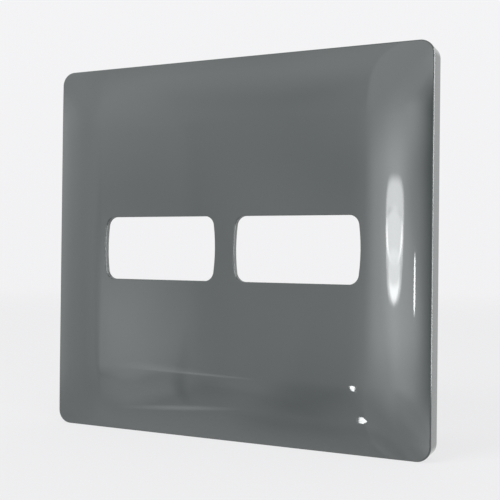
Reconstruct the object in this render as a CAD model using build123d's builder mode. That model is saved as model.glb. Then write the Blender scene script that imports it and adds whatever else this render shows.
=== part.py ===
from build123d import *
import os

# Two-gang cover plate for flush light switches, one injection moulding.
# It stands as on a wall: X to the right, Z up, front towards -Y, back rim on the plane Y = 0.
# The origin is the middle of the plate on the wall plane. Sizes are in millimetres.

# Outer form
plate_width = 122.0
plate_height = 114.0
corner_radius = 4.2
skirt_depth = 7.0  # straight side wall, from the wall plane to the front rim
crown_rise = 2.8  # how far the flat middle stands in front of the rim
end_border = 20.0  # height of the falling border at the top and bottom
rim_radius = 0.6  # rounding where the front meets the skirt
wall = 1.8

# Windows for the switch modules
window_width = 38.5  # at mid height, where it is widest
window_height = 19.3
window_bow = 0.85  # how far the middle of each short side swells outwards
window_corner = 3.0
window_edge = 0.4  # rounding of the front edge
bridge_width = 6.3  # between the two windows at mid height
window_margin = 1.2  # from a window's outer end to the falling border beside it

# Collar around each window, behind the front wall
collar_margin = 1.6  # from the window's edge to the collar
collar_thickness = 1.1
collar_height = 2.0

# Stiffening ribs behind the front wall
rib_thickness = 1.2
rib_height = 2.4

# Snap legs that clip to the mounting frame
leg_width = 8.0
leg_thickness = 1.6
leg_rows = 66.0  # from the outer face of the upper legs to that of the lower legs
leg_setback = 0.8  # from the tips to the wall plane
nib_reach = 0.9
nib_height = 2.4
nib_ramp = 1.8
gusset_reach = 4.5
gusset_height = 5.0

# Notch in the lower edge for the tip of a screwdriver
notch_width = 12.0
notch_depth = 1.4
notch_corner = 0.5

plate_depth = skirt_depth + crown_rise
inner_face = plate_depth - wall  # from the wall plane to the back of the flat middle
window_centre = (bridge_width + window_width) / 2
flat_width = bridge_width + 2 * window_width + 2 * window_margin
flat_height = plate_height - 2 * end_border
leg_face = leg_rows / 2
facing = 0.5  # a face looks forwards or backwards if its normal leans at least this much that way


def spans(size, flat_size):
    """The border, the flat middle and the other border of the front, along one direction.

    Each is a list of control points: a place, and the share of the crown's rise there. A border is
    a parabola that leaves the flat middle without a crease and comes down to 0 at the rim.
    """
    rim = size / 2
    flat = flat_size / 2
    turn = (rim + flat) / 2
    return [
        [(-rim, 0), (-turn, 1), (-flat, 1)],
        [(-flat, 1), (flat, 1)],
        [(flat, 1), (turn, 1), (rim, 0)],
    ]


def crowned_block(rim_depth):
    """A block behind the pillowed front: a flat middle and eight patches that join it uncreased."""
    with BuildPart() as block:
        with BuildSketch(Plane.XZ):
            Rectangle(flat_width, flat_height)
        extrude(amount=rim_depth + crown_rise)
        for across in spans(plate_width, flat_width):
            for up in spans(plate_height, flat_height):
                reaches_rim = any(share == 0 for place, share in across + up)
                if reaches_rim:
                    net = [
                        [(x, -rim_depth - crown_rise * share_x * share_z, z) for z, share_z in up]
                        for x, share_x in across
                    ]
                    extrude(Face.make_bezier_surface(net), amount=plate_depth, dir=(0, 1, 0))
    return block.part


def rounded_block(inset, rim_depth, edge_radius):
    """The plate's outline, inset all round, from the wall plane to the crowned front."""
    crown = crowned_block(rim_depth)
    with BuildPart() as block:
        with BuildSketch(Plane.XZ):
            RectangleRounded(
                plate_width - 2 * inset, plate_height - 2 * inset, corner_radius - inset
            )
        extrude(amount=plate_depth)
        add(crown, mode=Mode.INTERSECT)
        front_faces = block.faces().filter_by(lambda face: face.normal_at().Y < -facing)
        side_faces = block.faces().filter_by(lambda face: abs(face.normal_at().Y) < facing)
        rim = [edge for edge in front_faces.edges() if edge in side_faces.edges()]
        fillet(rim, edge_radius)
    return block.part


def window_outline(margin=0.0):
    """One window, grown outwards all round by a margin."""
    middle = window_width / 2
    end = middle - window_bow
    top = window_height / 2
    with BuildSketch() as outline:
        with BuildLine():
            Line((-end, top), (end, top))
            ThreePointArc((end, top), (middle, 0), (end, -top))
            Line((end, -top), (-end, -top))
            ThreePointArc((-end, -top), (-middle, 0), (-end, top))
        make_face()
        fillet(outline.vertices(), window_corner)
        if margin:
            offset(amount=margin)
    return outline.sketch


window = window_outline()
inside_collar = window_outline(collar_margin)
outside_collar = window_outline(collar_margin + collar_thickness)
window_places = [(-window_centre, 0), (window_centre, 0)]

# Ribs: three upright ones and one across, open where the windows are
with BuildPart() as ribs:
    with BuildSketch(Plane.XZ.offset(inner_face - rib_height)):
        with Locations((-window_centre, 0), (0, 0), (window_centre, 0)):
            Rectangle(rib_thickness, plate_height)
        Rectangle(plate_width, rib_thickness)
        with Locations(window_places):
            add(inside_collar, mode=Mode.SUBTRACT)
    extrude(amount=rib_height + wall)

with BuildPart() as collars:
    with BuildSketch(Plane.XZ.offset(inner_face - collar_height)):
        with Locations(window_places):
            add(outside_collar)
            add(inside_collar, mode=Mode.SUBTRACT)
    extrude(amount=collar_height + wall)

# Legs: an upright tongue with a wedge-shaped nib outside and a gusset inside
with BuildPart() as legs:
    for x in (-window_centre, window_centre):
        leg_root = (-plate_depth, leg_face - leg_thickness)
        with BuildSketch(Plane.YZ.offset(x)):
            with BuildLine():
                Polyline(
                    leg_root,
                    (-leg_setback, leg_face - leg_thickness),
                    (-leg_setback, leg_face),
                    (-leg_setback - nib_ramp, leg_face + nib_reach),
                    (-leg_setback - nib_height, leg_face + nib_reach),
                    (-leg_setback - nib_height, leg_face),
                    (-plate_depth, leg_face),
                    close=True,
                )
            make_face()
        extrude(amount=leg_width / 2, both=True)
        with BuildSketch(Plane.YZ.offset(x)):
            with BuildLine():
                Polyline(
                    leg_root,
                    (-inner_face + gusset_height, leg_face - leg_thickness),
                    (-inner_face, leg_face - leg_thickness - gusset_reach),
                    (-plate_depth, leg_face - leg_thickness - gusset_reach),
                    close=True,
                )
            make_face()
        extrude(amount=rib_thickness / 2, both=True)
    mirror(about=Plane.XY)

# The hollow behind the front, less what stands in it
with BuildPart() as hollow:
    add(rounded_block(wall, skirt_depth - wall, rim_radius))
    add(ribs.part, mode=Mode.SUBTRACT)
    add(collars.part, mode=Mode.SUBTRACT)
    add(legs.part, mode=Mode.SUBTRACT)

with BuildPart() as switch_plate:
    add(rounded_block(0, skirt_depth, rim_radius))
    add(hollow.part, mode=Mode.SUBTRACT)
    with BuildSketch(Plane.XZ):
        with Locations(window_places):
            add(window)
    extrude(amount=plate_depth, mode=Mode.SUBTRACT)
    flat_middle = switch_plate.faces().sort_by(Axis.Y)[0]
    fillet([edge for wire in flat_middle.inner_wires() for edge in wire.edges()], window_edge)
    with BuildSketch(Plane.XY.offset(-plate_height / 2)):
        RectangleRounded(notch_width, 2 * notch_depth, notch_corner)
    extrude(amount=wall, mode=Mode.SUBTRACT)

switch_plate.part.label = "switch_plate"

os.makedirs("parts", exist_ok=True)
export_step(switch_plate.part, "parts/switch_plate.step")
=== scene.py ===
import math

import bmesh
import bpy
from bpy.props import FloatProperty, FloatVectorProperty, IntProperty, PointerProperty
from mathutils import Matrix, Vector


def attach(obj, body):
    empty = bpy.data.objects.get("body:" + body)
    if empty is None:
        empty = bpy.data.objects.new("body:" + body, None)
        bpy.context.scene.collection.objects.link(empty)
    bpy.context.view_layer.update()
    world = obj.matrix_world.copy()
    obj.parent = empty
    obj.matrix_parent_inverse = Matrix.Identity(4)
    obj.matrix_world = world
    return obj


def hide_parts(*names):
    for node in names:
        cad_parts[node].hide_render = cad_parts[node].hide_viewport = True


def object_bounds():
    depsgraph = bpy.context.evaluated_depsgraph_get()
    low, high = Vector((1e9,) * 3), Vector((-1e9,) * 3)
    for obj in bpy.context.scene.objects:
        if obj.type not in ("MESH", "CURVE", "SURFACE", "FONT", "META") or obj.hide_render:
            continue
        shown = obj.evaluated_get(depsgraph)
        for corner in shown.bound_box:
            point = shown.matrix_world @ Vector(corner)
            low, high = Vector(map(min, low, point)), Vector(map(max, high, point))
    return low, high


bl_info = {
    "name": "Two-Gang Cover Plate",
    "version": (1, 0, 0),
    "blender": (4, 5, 0),
    "location": "View3D > Sidebar > Cover Plate",
    "description": "Dresses a two-gang switch cover plate and builds its studio",
    "category": "Object",
}

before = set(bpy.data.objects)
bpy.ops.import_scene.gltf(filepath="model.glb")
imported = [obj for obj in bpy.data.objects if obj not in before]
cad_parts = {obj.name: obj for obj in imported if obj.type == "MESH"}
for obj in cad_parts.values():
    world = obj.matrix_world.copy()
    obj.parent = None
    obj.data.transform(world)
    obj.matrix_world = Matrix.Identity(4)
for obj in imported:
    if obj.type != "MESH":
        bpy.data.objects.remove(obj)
cad_low, cad_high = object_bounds()

# The mesh. Lengths are in metres.
TOUCH = 2e-5  # a point lies on a surface if it is no further from it than this
WELD = 2e-6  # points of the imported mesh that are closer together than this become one
FORWARDS = -0.9  # the normals of the curved border all have a Y below this
BACKWARDS = 0.5  # a face whose normal has a Y of this or more isn't on the outside
IN_LINE = 0.82  # cosine of the widest angle that is shaded as one smooth surface

# The skin. Scales are in waves of noise to the metre.
RIPPLE_SCALE = 260.0
GRAIN_SCALE = 4200.0
PATCH_SCALE = 38.0
TONE_SCALE = 14.0
TONE_CHANGE = 0.03  # how far the colour gets lighter or darker, as a share
NOISE_LOW, NOISE_HIGH = 0.3, 0.7  # nearly all of a noise lies between these

# The studio. Places and lengths are in metres.
KEY_PLACE = (-0.5, -0.9, 0.8)
FILL_PLACE = (0.9, -0.7, 0.4)
LAMP_SIZE = 0.6
FLOOR_REACH = 3.0  # from the middle to each edge
FADE_START = 0.25  # where the floor begins to pass into the backdrop
FADE_END = 1.2
HORIZON_BAND = 16.0  # degrees to each side of level over which the backdrop's level changes
SIDEWAYS, WELL_BEHIND = 0.0, 0.8  # how far back a direction points, as its Y
ROOM_TINT = (0.998, 0.998, 1.013, 1.0)  # of the backdrop and the room's even light
MIRRORED_TINT = (0.985, 1.0, 1.003, 1.0)  # of all that gloss mirrors
LEAST_WIDTH = 0.05  # the share of a soft light's width that its taper always leaves

# Soft lights round the plate, which only its gloss mirrors. Each row gives the inputs below in
# their order. The first five are in degrees, and an azimuth of 0 is straight in front.
LIGHT_INPUTS = ("Centre Azimuth", "Centre Elevation", "Half Width", "Half Height", "Tilt",
                "Squareness", "Taper", "Softness", "Level")
SOFT_LIGHTS = {
    "upper room": (-39.8, 19.4, 11.09, 23.33, 21.0, 7.8, 0.06, 0.67, 0.88),
    "far left": (-72.7, 29.7, 14.01, 30.45, 16.8, 7.5, -0.02, 1.00, 1.54),
    "left edge": (-75.8, -1.8, 9.07, 35.54, -15.4, 7.9, 0.90, 1.00, 0.33),
    "low left": (-34.3, -56.8, 24.61, 35.53, 19.4, 1.4, 0.05, 0.96, 1.10),
    "low lift": (-27.8, -37.7, 23.78, 10.69, -54.8, 7.3, -0.55, 0.25, 0.21),
    "side wall": (-33.4, -5.5, 2.86, 5.45, -0.5, 2.0, -0.48, 0.90, 1.28),
    "side panel": (-32.1, 1.7, 3.25, 8.99, 5.9, 8.0, -0.15, 0.20, 0.24),
    "side streak": (-32.4, -14.6, 2.93, 10.46, -20.2, 1.5, -0.13, 0.45, 0.62),
    "low glow": (-25.6, -12.7, 4.44, 2.08, -65.2, 1.5, -0.63, 0.97, 0.20),
    "upper shade": (-25.8, 14.2, 7.56, 11.47, 2.6, 7.2, 0.12, 0.81, -0.96),
    "low shade": (-22.8, -21.8, 2.46, 11.63, -12.9, 4.8, 0.26, 0.98, -0.67),
    "window wall": (1.7, 9.0, 18.99, 98.80, -1.4, 6.9, -0.04, 0.04, 0.44),
    "upper right": (8.2, 24.2, 43.58, 21.94, -4.4, 4.9, 0.01, 0.28, 1.31),
    "low window": (-13.2, -13.4, 14.15, 16.52, -7.1, 7.6, -0.17, 0.18, 0.43),
    "window glow": (3.0, -4.0, 11.87, 11.95, -41.4, 4.7, -0.02, 0.96, 1.94),
    "lamp halo": (5.0, -2.8, 11.72, 6.11, -33.7, 2.5, -0.06, 0.42, 1.07),
    "band": (1.9, 0.8, 15.57, 7.50, 2.7, 6.0, -0.01, 0.27, 1.20),
    "bright fan": (14.4, 9.9, 5.95, 2.30, -4.6, 2.2, -0.08, 0.96, 1.66),
    "right shade": (26.6, 13.4, 15.59, 7.75, 51.9, 7.9, 0.01, 0.93, -3.88),
    "lamp": (0.8, 1.1, 4.85, 4.11, -0.5, 3.4, -0.13, 0.11, 8.2),
    "lamp rim": (0.6, 1.4, 4.52, 1.79, -1.5, 2.3, -0.09, 0.16, 17.3),
    "lamp middle": (0.6, 1.4, 3.98, 1.78, -1.9, 2.8, -0.19, 0.14, -15.5),
    "lamp foot": (0.8, -1.3, 3.25, 1.83, 0.0, 2.2, -0.34, 0.18, 8.5),
    "lamp gap": (0.8, -0.7, 3.96, 1.25, 0.3, 2.1, 0.08, 0.27, -6.4),
    "slit": (12.2, -1.8, 0.4, 1.89, -0.4, 3.8, 0.11, 0.2, 22.0),
    "first glint": (-17.9, -10.5, 0.14, 1.35, -1.7, 2.4, -0.47, 0.12, 26.0),
    "second glint": (-17.8, -25.7, 0.9, 1.16, -98.8, 8.0, 0.9, 0.04, 21.0),
    "edge light": (102.0, 14.0, 22.0, 23.0, 0.0, 8.0, 0.0, 0.05, 11.0),
    "back right": (146.0, 0.0, 12.0, 30.0, 0.0, 4.0, 0.0, 0.3, 1.1),
    "upper streak": (-28.6, -8.4, 2.9, 0.45, -12.6, 2.0, 0.0, 0.9, 1.3),
    "lower streak": (-32.2, -25.4, 3.1, 0.8, 16.3, 2.0, 0.0, 0.9, 1.2),
    "fold shade": (-30.1, -14.5, 0.4, 6.5, -6.7, 2.0, 0.0, 0.9, -0.6),
}


class CoverPlateShape(bpy.types.PropertyGroup):
    """The curve of the front, which the finer visual piece follows."""

    flat_width: FloatProperty(
        name="Flat Width", description="Width of the flat middle, across both windows",
        default=0.0857, min=0.0, subtype="DISTANCE", unit="LENGTH")
    flat_height: FloatProperty(
        name="Flat Height", description="Height of the flat middle",
        default=0.074, min=0.0, subtype="DISTANCE", unit="LENGTH")
    crown_rise: FloatProperty(
        name="Crown Rise", description="How far the flat middle stands in front of the rim",
        default=0.0028, min=0.0, subtype="DISTANCE", unit="LENGTH")
    corner_radius: FloatProperty(
        name="Corner Radius", description="Radius of the outline's corners",
        default=0.0042, min=0.0, subtype="DISTANCE", unit="LENGTH")
    front_skin: FloatProperty(
        name="Front Skin", description="How deep the polished finish goes into the windows",
        default=0.0017, min=0.0, subtype="DISTANCE", unit="LENGTH")
    refinement: IntProperty(
        name="Refinement", description="Cuts made in each edge of the curved border",
        default=3, min=0, max=6)


class CoverPlateFinish(bpy.types.PropertyGroup):
    """Colour and surface of the moulding."""

    colour: FloatVectorProperty(
        name="Colour", description="Colour of the plastic",
        default=(0.0727, 0.083, 0.0823), min=0.0, max=1.0, size=3, subtype="COLOR")
    polish: FloatProperty(
        name="Polish Roughness", description="Roughness of the polished front",
        default=0.02, min=0.0, max=1.0, subtype="FACTOR")
    ripple: FloatProperty(
        name="Ripple Height", description="Height of the shallow waves in the polished front",
        default=2e-7, min=0.0, precision=7, subtype="DISTANCE", unit="LENGTH")
    satin: FloatProperty(
        name="Satin Roughness", description="Roughness of the spark-eroded back",
        default=0.42, min=0.0, max=1.0, subtype="FACTOR")
    grain: FloatProperty(
        name="Grain Height", description="Height of the spark-eroded grain on the back",
        default=9e-6, min=0.0, precision=7, subtype="DISTANCE", unit="LENGTH")


class CoverPlateStudio(bpy.types.PropertyGroup):
    """Camera, floor and light."""

    camera_place: FloatVectorProperty(
        name="Camera Place", description="Where the camera stands",
        default=(0.112042, -0.234234, -0.001725), size=3, precision=4,
        subtype="TRANSLATION", unit="LENGTH")
    camera_azimuth: FloatProperty(
        name="Camera Azimuth", description="How far the camera looks to the plate's left",
        default=math.radians(24.7744), subtype="ANGLE", unit="ROTATION")
    camera_elevation: FloatProperty(
        name="Camera Elevation", description="How far the camera looks up",
        default=math.radians(0.3307), subtype="ANGLE", unit="ROTATION")
    camera_roll: FloatProperty(
        name="Camera Roll", description="How far the camera is turned about its line of sight",
        default=math.radians(0.6582), subtype="ANGLE", unit="ROTATION")
    camera_lens: FloatProperty(
        name="Camera Lens", description="Focal length for a sensor 36 mm wide",
        default=61.353, min=1.0, subtype="DISTANCE_CAMERA", unit="CAMERA")
    floor_colour: FloatVectorProperty(
        name="Floor Colour", description="Colour of the paper that the plate stands on",
        default=(0.892, 0.892, 0.902), min=0.0, max=1.0, size=3, subtype="COLOR")
    backdrop_low: FloatProperty(
        name="Backdrop at the Floor", description="Level of the backdrop near the floor",
        default=0.87, min=0.0, max=1.0, subtype="FACTOR")
    backdrop_high: FloatProperty(
        name="Backdrop Above", description="Level of the backdrop above the plate",
        default=0.905, min=0.0, max=1.0, subtype="FACTOR")
    wall_level: FloatProperty(
        name="Wall Level", description="How bright the gloss sees the side behind the plate",
        default=1.06, min=0.0, max=2.0, subtype="FACTOR")
    floor_glow: FloatProperty(
        name="Floor Glow", description="How far the floor is seen at the backdrop's own level",
        default=0.8, min=0.0, max=1.0, subtype="FACTOR")
    room_level: FloatProperty(
        name="Room Level", description="Even light that reaches matt surfaces from all round",
        default=0.55, min=0.0, max=1.0, subtype="FACTOR")
    key_power: FloatProperty(
        name="Key Lamp", description="Power of the lamp in front, at the upper left",
        default=6.6, min=0.0, subtype="POWER", unit="POWER")
    fill_power: FloatProperty(
        name="Fill Lamp", description="Power of the lamp at the right",
        default=2.9, min=0.0, subtype="POWER", unit="POWER")


def feed(tree, socket, value):
    """Links an input to another node's socket, or sets it to a value."""
    if isinstance(value, bpy.types.NodeSocket):
        tree.links.new(value, socket)
    else:
        socket.default_value = value


def add_node(tree, kind, settings=None, **inputs):
    """A node with its settings, and its inputs set to values or linked to sockets.

    An input's name is the socket's own name, where underscores may stand for spaces.
    """
    node = tree.nodes.new(kind)
    for name, value in (settings or {}).items():
        setattr(node, name, value)
    for name, value in inputs.items():
        feed(tree, node.inputs[name.replace("_", " ")], value)
    return node


def calculate(tree, operation, *values):
    """The result of a Math node."""
    node = add_node(tree, "ShaderNodeMath", {"operation": operation})
    for socket, value in zip(node.inputs, values):
        feed(tree, socket, value)
    return node.outputs["Value"]


def mix_shaders(tree, share, first, second):
    """The first shader where the share is 0, the second where it is 1."""
    node = tree.nodes.new("ShaderNodeMixShader")
    for socket, value in zip(node.inputs, (share, first, second)):
        feed(tree, socket, value)
    return node.outputs["Shader"]


def new_group(name, inputs, outputs):
    """An empty shader node group, the sockets that it is given and those of its results."""
    tree = bpy.data.node_groups.new(name, "ShaderNodeTree")
    for in_out, sockets in (("INPUT", inputs), ("OUTPUT", outputs)):
        for label, kind in sockets:
            tree.interface.new_socket(label, in_out=in_out, socket_type=kind)
    given = tree.nodes.new("NodeGroupInput").outputs
    result = tree.nodes.new("NodeGroupOutput").inputs
    return tree, given, result


def moulded_skin_group():
    """The skin of a moulding: waves, grain, and patches where the polish or colour varies."""
    number, vector, colour = "NodeSocketFloat", "NodeSocketVector", "NodeSocketColor"
    tree, given, result = new_group(
        "Moulded skin",
        [("Position", vector), ("Ripple", number), ("Grain", number),
         ("Roughness", number), ("Variation", number), ("Colour", colour)],
        [("Height", number), ("Roughness", number), ("Colour", colour)])

    def noise(**inputs):
        node = add_node(tree, "ShaderNodeTexNoise", Vector=given["Position"], **inputs)
        return node.outputs["Fac"]

    waves = noise(Scale=RIPPLE_SCALE, Detail=1.0)
    pits = noise(Scale=GRAIN_SCALE, Detail=2.0)
    height = calculate(tree, "MULTIPLY_ADD", waves, given["Ripple"],
                       calculate(tree, "MULTIPLY", pits, given["Grain"]))
    patches = noise(Scale=PATCH_SCALE, Detail=4.0, Roughness=0.6)
    share = calculate(tree, "MULTIPLY_ADD", calculate(tree, "SUBTRACT", patches, 0.5),
                      calculate(tree, "MULTIPLY", given["Variation"], 2.0), 1.0)
    roughness = calculate(tree, "MULTIPLY", given["Roughness"], share)
    flow = noise(Scale=TONE_SCALE, Detail=2.0)
    tone = add_node(tree, "ShaderNodeMapRange", Value=flow, From_Min=NOISE_LOW,
                    From_Max=NOISE_HIGH, To_Min=1 - TONE_CHANGE, To_Max=1 + TONE_CHANGE)
    toned = add_node(tree, "ShaderNodeVectorMath", {"operation": "SCALE"},
                     Vector=given["Colour"], Scale=tone.outputs["Result"])
    tree.links.new(height, result["Height"])
    tree.links.new(roughness, result["Roughness"])
    tree.links.new(toned.outputs["Vector"], result["Colour"])
    return tree


def moulded_material(name, group, colour, roughness, variation, ripple, grain):
    """Coloured plastic as it comes from the mould."""
    material = bpy.data.materials.new(name)
    material.use_nodes = True
    material.diffuse_color = (*colour, 1.0)
    tree = material.node_tree
    shader = tree.nodes["Principled BSDF"]
    position = tree.nodes.new("ShaderNodeTexCoord").outputs["Object"]
    skin = add_node(tree, "ShaderNodeGroup", {"node_tree": group}, Position=position,
                    Ripple=ripple, Grain=grain, Roughness=roughness, Variation=variation,
                    Colour=(*colour, 1.0))
    bump = add_node(tree, "ShaderNodeBump", Strength=1.0, Distance=1.0,
                    Height=skin.outputs["Height"])
    tree.links.new(skin.outputs["Colour"], shader.inputs["Base Color"])
    tree.links.new(skin.outputs["Roughness"], shader.inputs["Roughness"])
    tree.links.new(bump.outputs["Normal"], shader.inputs["Normal"])
    shader.inputs["IOR"].default_value = 1.5
    return material


def border_fall(place, flat_size, rim):
    """How far along a falling border a place is, from 0 at the flat middle to 1 at the rim."""
    start = flat_size / 2
    return max(0.0, (abs(place) - start) / (rim - start))


def front_depth(shape, x, z):
    """How far the front stands from the wall plane at a place."""
    across = 1 - border_fall(x, shape.flat_width, cad_high.x) ** 2
    up = 1 - border_fall(z, shape.flat_height, cad_high.z) ** 2
    return -cad_low.y - shape.crown_rise * (1 - across * up)


def front_normal(shape, x, z):
    """Which way the front faces at a place."""
    fall_x = border_fall(x, shape.flat_width, cad_high.x)
    fall_z = border_fall(z, shape.flat_height, cad_high.z)
    lean_x = 2 * fall_x * (1 - fall_z ** 2) / (cad_high.x - shape.flat_width / 2)
    lean_z = 2 * fall_z * (1 - fall_x ** 2) / (cad_high.z - shape.flat_height / 2)
    return Vector((
        math.copysign(shape.crown_rise * lean_x, x), -1.0,
        math.copysign(shape.crown_rise * lean_z, z))).normalized()


def inside_outline(shape, x, z):
    """How far a place is inside the plate's outline."""
    across = abs(x) - cad_high.x + shape.corner_radius
    up = abs(z) - cad_high.z + shape.corner_radius
    corner = math.hypot(max(across, 0.0), max(up, 0.0))
    return shape.corner_radius - corner - min(max(across, up), 0.0)


def on_front(shape, point):
    return abs(point.y + front_depth(shape, point.x, point.z)) < TOUCH


def refine_front(form, shape):
    """Cuts the curved border finer and lays the new points on its true curve."""
    curved = [
        face for face in form.faces
        if face.normal.y < FORWARDS and all(on_front(shape, corner.co) for corner in face.verts)
        and any(corner.co.y > cad_low.y + TOUCH for corner in face.verts)
    ]
    edges = {edge for face in curved for edge in face.edges}
    added = bmesh.ops.subdivide_edges(
        form, edges=list(edges), cuts=shape.refinement, use_grid_fill=True)["geom_inner"]
    for point in added:
        if isinstance(point, bmesh.types.BMVert):
            point.co.y = -front_depth(shape, point.co.x, point.co.z)


def polished(shape, face):
    """Whether a face belongs to the polished outside: front, skirt or window edge."""
    return face.normal.y < BACKWARDS and all(
        inside_outline(shape, point.co.x, point.co.z) < TOUCH
        or point.co.y + front_depth(shape, point.co.x, point.co.z) < shape.front_skin
        for point in face.verts)


def corner_normals(form, shape):
    """A shading normal for each face corner, in the order of the mesh's corners.

    On the front it is the true one. Elsewhere it is the mean of the faces that are nearly in
    line, by area, so that a wide flat face stays flat beside a rounded edge.
    """
    areas = {face: face.calc_area() for face in form.faces}
    fronts = {
        point: front_normal(shape, point.co.x, point.co.z)
        for point in form.verts if on_front(shape, point.co)
    }
    normals = []
    for face in form.faces:
        for loop in face.loops:
            true_normal = fronts.get(loop.vert)
            if true_normal and face.normal.dot(true_normal) > IN_LINE:
                normals.append(true_normal)
                continue
            total = Vector()
            for other in loop.vert.link_faces:
                if other.normal.dot(face.normal) > IN_LINE:
                    total += other.normal * areas[other]
            normals.append(total.normalized())
    return normals


def cover_plate_mesh(source, shape):
    """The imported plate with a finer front, two finishes and true shading."""
    form = bmesh.new()
    form.from_mesh(source)
    bmesh.ops.remove_doubles(form, verts=form.verts, dist=WELD)
    form.normal_update()
    refine_front(form, shape)
    form.normal_update()
    for face in form.faces:
        face.smooth = True
        face.material_index = 0 if polished(shape, face) else 1
    normals = corner_normals(form, shape)
    mesh = bpy.data.meshes.new("cover_plate")
    form.to_mesh(mesh)
    form.free()
    mesh.normals_split_custom_set(normals)
    return mesh


class COVERPLATE_OT_dress(bpy.types.Operator):
    """Make the finely curved cover plate with its polished front and satin back"""

    bl_idname = "cover_plate.dress"
    bl_label = "Dress the Plate"

    def execute(self, context):
        shape = context.scene.cover_plate_shape
        finish = context.scene.cover_plate_finish
        mesh = cover_plate_mesh(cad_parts["switch_plate"].data, shape)
        skin = moulded_skin_group()
        colour = tuple(finish.colour)
        mesh.materials.append(moulded_material(
            "Polished grey plastic", skin, colour, roughness=finish.polish, variation=0.25,
            ripple=finish.ripple, grain=0.0))
        mesh.materials.append(moulded_material(
            "Satin grey plastic", skin, colour, roughness=finish.satin, variation=0.15,
            ripple=0.0, grain=finish.grain))
        piece = bpy.data.objects.new("cover_plate", mesh)
        context.scene.collection.objects.link(piece)
        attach(piece, "root")
        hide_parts("switch_plate")
        return {"FINISHED"}


def soft_light_group():
    """One soft-edged patch of light, from round to square, anywhere round the plate."""
    number = "NodeSocketFloat"
    names = ("Azimuth", "Elevation", *LIGHT_INPUTS)
    tree, given, result = new_group(
        "Soft light", [(name, number) for name in names], [("Light", number)])
    across = calculate(tree, "SUBTRACT", given["Azimuth"], given["Centre Azimuth"])
    up = calculate(tree, "SUBTRACT", given["Elevation"], given["Centre Elevation"])
    tilt = calculate(tree, "RADIANS", given["Tilt"])
    cosine = calculate(tree, "COSINE", tilt)
    sine = calculate(tree, "SINE", tilt)
    along = calculate(tree, "MULTIPLY_ADD", across, cosine, calculate(tree, "MULTIPLY", up, sine))
    beside = calculate(tree, "SUBTRACT", calculate(tree, "MULTIPLY", up, cosine),
                       calculate(tree, "MULTIPLY", across, sine))
    height = calculate(tree, "DIVIDE", beside, given["Half Height"])
    narrowing = calculate(tree, "MAXIMUM", LEAST_WIDTH, calculate(
        tree, "SUBTRACT", 1.0, calculate(tree, "MULTIPLY", height, given["Taper"])))
    width = calculate(tree, "DIVIDE", along, calculate(
        tree, "MULTIPLY", given["Half Width"], narrowing))
    powers = [
        calculate(tree, "POWER", calculate(tree, "ABSOLUTE", share), given["Squareness"])
        for share in (width, height)
    ]
    radius = calculate(tree, "POWER", calculate(tree, "ADD", *powers),
                       calculate(tree, "DIVIDE", 1.0, given["Squareness"]))
    fall = add_node(
        tree, "ShaderNodeMapRange", {"interpolation_type": "SMOOTHSTEP"}, Value=radius,
        From_Min=calculate(tree, "ADD", 1.0, given["Softness"]),
        From_Max=calculate(tree, "SUBTRACT", 1.0, given["Softness"]))
    tree.links.new(calculate(tree, "MULTIPLY", fall.outputs["Result"], given["Level"]),
                   result["Light"])
    return tree


def build_world(studio):
    """An even room, a pale backdrop, and the soft lights that only gloss mirrors."""
    world = bpy.data.worlds.new("Studio")
    bpy.context.scene.world = world
    world.use_nodes = True
    tree = world.node_tree
    tree.nodes.clear()
    direction = tree.nodes.new("ShaderNodeTexCoord").outputs["Generated"]
    parts = add_node(tree, "ShaderNodeSeparateXYZ", Vector=direction).outputs
    azimuth = calculate(tree, "DEGREES", calculate(
        tree, "ARCTAN2", parts["X"], calculate(tree, "MULTIPLY", parts["Y"], -1.0)))
    elevation = calculate(tree, "DEGREES", calculate(tree, "ARCSINE", parts["Z"]))
    group = soft_light_group()
    lights = 0.0
    for name, values in SOFT_LIGHTS.items():
        light = add_node(
            tree, "ShaderNodeGroup", {"node_tree": group, "label": name},
            Azimuth=azimuth, Elevation=elevation, **dict(zip(LIGHT_INPUTS, values)))
        lights = calculate(tree, "ADD", light.outputs["Light"], lights)
    backdrop = add_node(
        tree, "ShaderNodeMapRange", Value=elevation, From_Min=-HORIZON_BAND,
        From_Max=HORIZON_BAND, To_Min=studio.backdrop_low,
        To_Max=studio.backdrop_high).outputs["Result"]
    behind = add_node(
        tree, "ShaderNodeMapRange", {"interpolation_type": "SMOOTHSTEP"}, Value=parts["Y"],
        From_Min=SIDEWAYS, From_Max=WELL_BEHIND, To_Min=1.0,
        To_Max=studio.wall_level).outputs["Result"]
    surroundings = calculate(tree, "MULTIPLY", backdrop, behind)
    mirrored = calculate(tree, "MAXIMUM", calculate(tree, "ADD", surroundings, lights), 0.0)
    path = tree.nodes.new("ShaderNodeLightPath").outputs
    seen = calculate(tree, "MAXIMUM", path["Is Camera Ray"], path["Is Transmission Ray"])
    plain = add_node(
        tree, "ShaderNodeMix", Factor=seen, A=studio.room_level, B=backdrop).outputs["Result"]
    # Two backgrounds, so that the soft lights are worked out for glossy rays alone
    room, mirror_room = (
        add_node(tree, "ShaderNodeBackground", Color=tint, Strength=level).outputs["Background"]
        for tint, level in ((ROOM_TINT, plain), (MIRRORED_TINT, mirrored)))
    add_node(tree, "ShaderNodeOutputWorld",
             Surface=mix_shaders(tree, path["Is Glossy Ray"], room, mirror_room))


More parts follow.
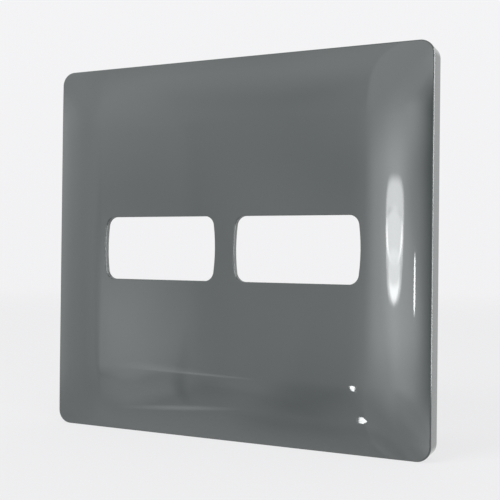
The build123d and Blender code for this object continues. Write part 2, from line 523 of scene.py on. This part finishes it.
def lay_floor(studio):
    """A wide sheet of pale paper that fades into the backdrop."""
    mesh = bpy.data.meshes.new("Floor")
    mesh.from_pydata(
        [(x * FLOOR_REACH, y * FLOOR_REACH, cad_low.z)
         for x, y in ((-1, -1), (1, -1), (1, 1), (-1, 1))],
        [], [(0, 1, 2, 3)])
    floor = bpy.data.objects.new("Floor", mesh)
    bpy.context.scene.collection.objects.link(floor)
    floor.visible_glossy = False
    material = bpy.data.materials.new("Studio paper")
    material.use_nodes = True
    tree = material.node_tree
    paper = tree.nodes["Principled BSDF"]
    paper.inputs["Base Color"].default_value = (*studio.floor_colour, 1.0)
    paper.inputs["Roughness"].default_value = 0.9
    paper.inputs["Specular IOR Level"].default_value = 0.0
    glow = add_node(tree, "ShaderNodeEmission", Color=(*studio.floor_colour, 1.0), Strength=1.0)
    clear = tree.nodes.new("ShaderNodeBsdfTransparent")
    path = tree.nodes.new("ShaderNodeLightPath").outputs
    glow_share = calculate(tree, "MULTIPLY", path["Is Camera Ray"], studio.floor_glow)
    place = tree.nodes.new("ShaderNodeNewGeometry").outputs["Position"]
    distance = add_node(tree, "ShaderNodeVectorMath", {"operation": "LENGTH"}, Vector=place)
    fade = add_node(tree, "ShaderNodeMapRange", {"interpolation_type": "SMOOTHSTEP"},
                    Value=distance.outputs["Value"], From_Min=FADE_START, From_Max=FADE_END)
    lit = mix_shaders(tree, glow_share, paper.outputs["BSDF"], glow.outputs["Emission"])
    faded = mix_shaders(tree, fade.outputs["Result"], lit, clear.outputs["BSDF"])
    tree.links.new(faded, tree.nodes["Material Output"].inputs["Surface"])
    mesh.materials.append(material)


def hang_lamp(name, place, power):
    """A square soft lamp that looks at the plate and isn't mirrored in it."""
    data = bpy.data.lights.new(name, "AREA")
    data.shape = "SQUARE"
    data.size = LAMP_SIZE
    data.energy = power
    lamp = bpy.data.objects.new(name, data)
    bpy.context.scene.collection.objects.link(lamp)
    lamp.location = place
    lamp.rotation_euler = (-Vector(place)).to_track_quat("-Z", "Y").to_euler()
    lamp.visible_glossy = False


def place_camera(studio):
    """The camera, at the photograph's viewing angle."""
    data = bpy.data.cameras.new("Camera")
    camera = bpy.data.objects.new("Camera", data)
    bpy.context.scene.collection.objects.link(camera)
    data.sensor_width = 36.0
    data.lens = studio.camera_lens
    data.clip_start = 0.01
    azimuth, elevation, roll = studio.camera_azimuth, studio.camera_elevation, studio.camera_roll
    forward = Vector((-math.sin(azimuth) * math.cos(elevation),
                      math.cos(azimuth) * math.cos(elevation), math.sin(elevation)))
    level = Vector((math.cos(azimuth), math.sin(azimuth), 0.0))
    upright = level.cross(forward)
    right = math.cos(roll) * level + math.sin(roll) * upright
    up = math.cos(roll) * upright - math.sin(roll) * level
    turn = Matrix((right, up, -forward)).transposed().to_4x4()
    camera.matrix_world = Matrix.Translation(studio.camera_place) @ turn
    bpy.context.scene.camera = camera


class COVERPLATE_OT_stage(bpy.types.Operator):
    """Build the pale floor, the backdrop, the soft lights and the camera"""

    bl_idname = "cover_plate.stage"
    bl_label = "Build the Studio"

    def execute(self, context):
        studio = context.scene.cover_plate_studio
        context.scene.view_settings.view_transform = "Standard"
        build_world(studio)
        lay_floor(studio)
        hang_lamp("Key lamp", KEY_PLACE, studio.key_power)
        hang_lamp("Fill lamp", FILL_PLACE, studio.fill_power)
        place_camera(studio)
        return {"FINISHED"}


class COVERPLATE_PT_panel(bpy.types.Panel):
    """Sizes, finish, studio and the steps that use them"""

    bl_idname = "COVERPLATE_PT_panel"
    bl_label = "Cover Plate"
    bl_space_type = "VIEW_3D"
    bl_region_type = "UI"
    bl_category = "Cover Plate"

    def draw(self, context):
        scene = context.scene
        for title, settings, operator in (
            ("Shape", scene.cover_plate_shape, None),
            ("Finish", scene.cover_plate_finish, COVERPLATE_OT_dress),
            ("Studio", scene.cover_plate_studio, COVERPLATE_OT_stage),
        ):
            box = self.layout.box()
            box.label(text=title)
            for name in type(settings).__annotations__:
                box.prop(settings, name)
            if operator:
                box.operator(operator.bl_idname)


SETTINGS = {
    "cover_plate_shape": CoverPlateShape,
    "cover_plate_finish": CoverPlateFinish,
    "cover_plate_studio": CoverPlateStudio,
}
CLASSES = (*SETTINGS.values(), COVERPLATE_OT_dress, COVERPLATE_OT_stage, COVERPLATE_PT_panel)


def register():
    for item in CLASSES:
        bpy.utils.register_class(item)
    for name, group in SETTINGS.items():
        setattr(bpy.types.Scene, name, PointerProperty(type=group))


def unregister():
    for name in SETTINGS:
        delattr(bpy.types.Scene, name)
    for item in reversed(CLASSES):
        bpy.utils.unregister_class(item)


def main():
    register()
    bpy.ops.cover_plate.dress()
    bpy.ops.cover_plate.stage()


if __name__ == "__main__":
    main()
